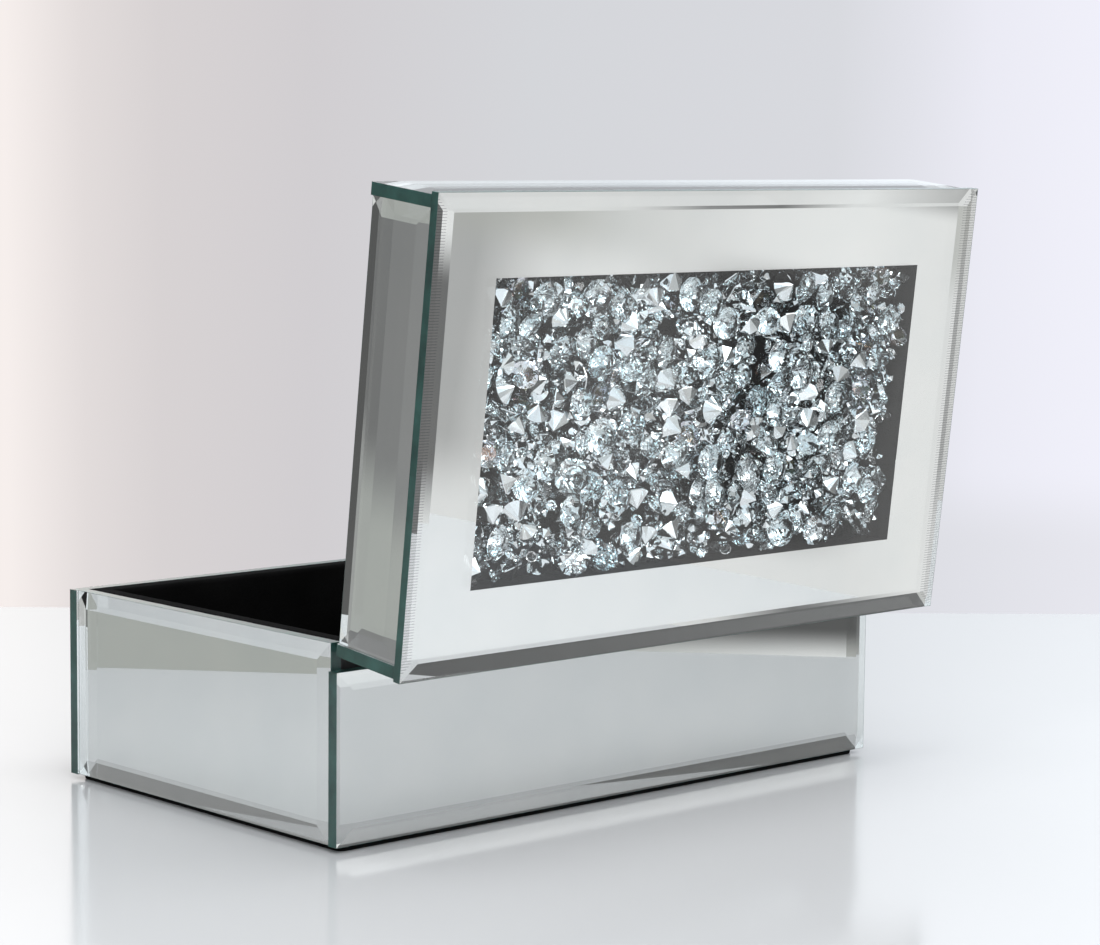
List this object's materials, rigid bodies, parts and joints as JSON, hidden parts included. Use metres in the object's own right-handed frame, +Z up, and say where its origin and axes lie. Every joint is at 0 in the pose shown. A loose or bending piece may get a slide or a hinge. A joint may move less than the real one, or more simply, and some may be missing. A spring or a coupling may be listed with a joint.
{
  "type": "mirrored trinket box",
  "caption": "Rectangular bevelled-mirror trinket box with a velvet-lined well and a hinged lid whose clear window shows loose cut crystals.",
  "frame": {"origin": "centre of the underside of the foot pad, on the table", "axes": "+Z up; X along the width; the opening side faces -Y and the hinges are at +Y; the lid is stored open, as displayed"},
  "size_m": [0.25, 0.1994, 0.2132],
  "materials": {
    "mirror_glass": "polished bevelled mirror with dark green edges",
    "window_glass": "polished bevelled glass, silvered round a clear window",
    "black_board": "matt black painted fibreboard",
    "black_velvet": "short-pile black velvet",
    "black_felt": "black felt",
    "black_card": "matt black card",
    "crystal": "clear faceted crystal, some with silver foil backs",
    "black_steel": "black lacquered steel",
    "pin_steel": "drawn steel",
    "screw_steel": "blackened steel"
  },
  "bodies": {
    "base": {"base_floor_board": "black_board", "base_floor_pad": "black_velvet", "base_front_board": "black_board", "base_front_liner": "black_velvet", "base_front_mirror": "mirror_glass", "base_hinge_screws": "screw_steel", "base_left_board": "black_board", "base_left_liner": "black_velvet", "base_left_mirror": "mirror_glass", "base_rear_board": "black_board", "base_rear_liner": "black_velvet", "base_rear_mirror": "mirror_glass", "base_right_board": "black_board", "base_right_liner": "black_velvet", "base_right_mirror": "mirror_glass", "foot_pad": "black_felt", "left_hinge_base_leaf": "black_steel", "left_hinge_pin": "pin_steel", "right_hinge_base_leaf": "black_steel", "right_hinge_pin": "pin_steel"},
    "lid": {"crystal_backing_card": "black_card", "crystal_fill": "crystal", "left_hinge_lid_leaf": "black_steel", "lid_ceiling_pad": "black_velvet", "lid_front_board": "black_board", "lid_front_liner": "black_velvet", "lid_front_mirror": "mirror_glass", "lid_hinge_screws": "screw_steel", "lid_left_board": "black_board", "lid_left_liner": "black_velvet", "lid_left_mirror": "mirror_glass", "lid_rear_board": "black_board", "lid_rear_liner": "black_velvet", "lid_rear_mirror": "mirror_glass", "lid_right_board": "black_board", "lid_right_liner": "black_velvet", "lid_right_mirror": "mirror_glass", "lid_top_mirror": "window_glass", "lid_window_frame": "black_board", "right_hinge_lid_leaf": "black_steel"}
  },
  "joints": [
    {"name": "lid_hinge", "type": "hinge", "parent": "base", "child": "lid", "pos_m": [0, 0.0728, 0.0663], "axis": [1, 0, 0], "range_deg": [0, 96.5]}
  ]
}
